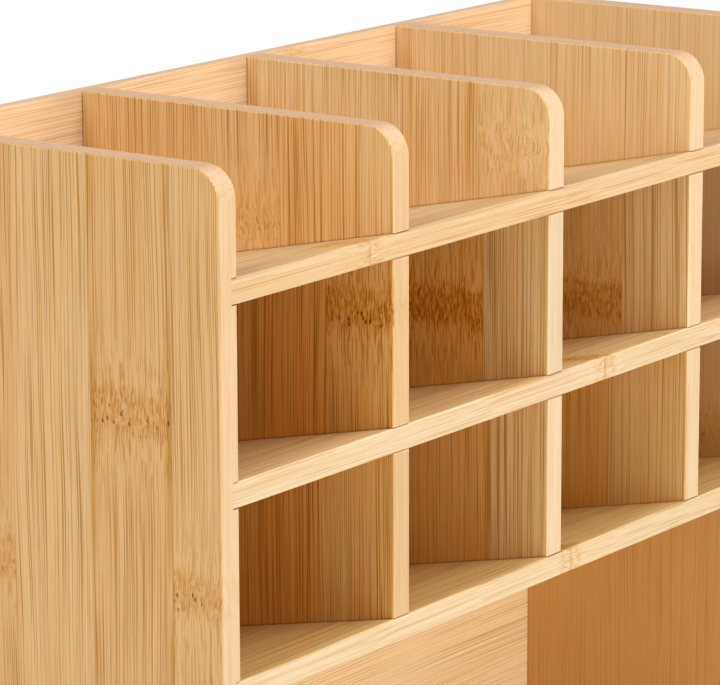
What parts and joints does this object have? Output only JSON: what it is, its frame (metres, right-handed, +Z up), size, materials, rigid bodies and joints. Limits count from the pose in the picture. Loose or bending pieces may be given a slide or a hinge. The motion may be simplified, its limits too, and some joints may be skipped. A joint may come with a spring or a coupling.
{
  "type": "desk organizer",
  "caption": "Free-standing bamboo desk organizer with sloping shelves: open-topped bins over closed cells and one full-width open bay.",
  "frame": {"origin": "middle of the footprint, on the plane that the foot pads stand on", "axes": "+Z up, the open front faces -Y, +X to the right seen from the front"},
  "size_m": [0.25, 0.089, 0.2076],
  "materials": {
    "side_panels": "laid bamboo board with upright grain, fine sanded, clear matt lacquer",
    "shelves": "laid bamboo board with grain along its length, fine sanded, clear matt lacquer",
    "dividers": "laid bamboo board with upright grain, fine sanded, clear matt lacquer",
    "back_panel": "thin bamboo board with level grain, clear matt lacquer",
    "base_board": "laid bamboo board with grain along its length, clear matt lacquer",
    "panel_pins": "bright drawn steel",
    "foot_pads": "soft translucent off-white rubber, matt"
  },
  "bodies": {
    "root": {"left_side_panel": "side_panels", "right_side_panel": "side_panels", "back_panel": "back_panel", "top_shelf": "shelves", "middle_shelf": "shelves", "lower_shelf": "shelves", "base_board": "base_board", "top_left_divider": "dividers", "top_centre_divider": "dividers", "top_right_divider": "dividers", "middle_left_divider": "dividers", "middle_centre_divider": "dividers", "middle_right_divider": "dividers", "lower_left_divider": "dividers", "lower_centre_divider": "dividers", "lower_right_divider": "dividers", "back_panel_pins": "panel_pins", "front_left_foot_pad": "foot_pads", "front_right_foot_pad": "foot_pads", "rear_left_foot_pad": "foot_pads", "rear_right_foot_pad": "foot_pads"}
  },
  "joints": []
}
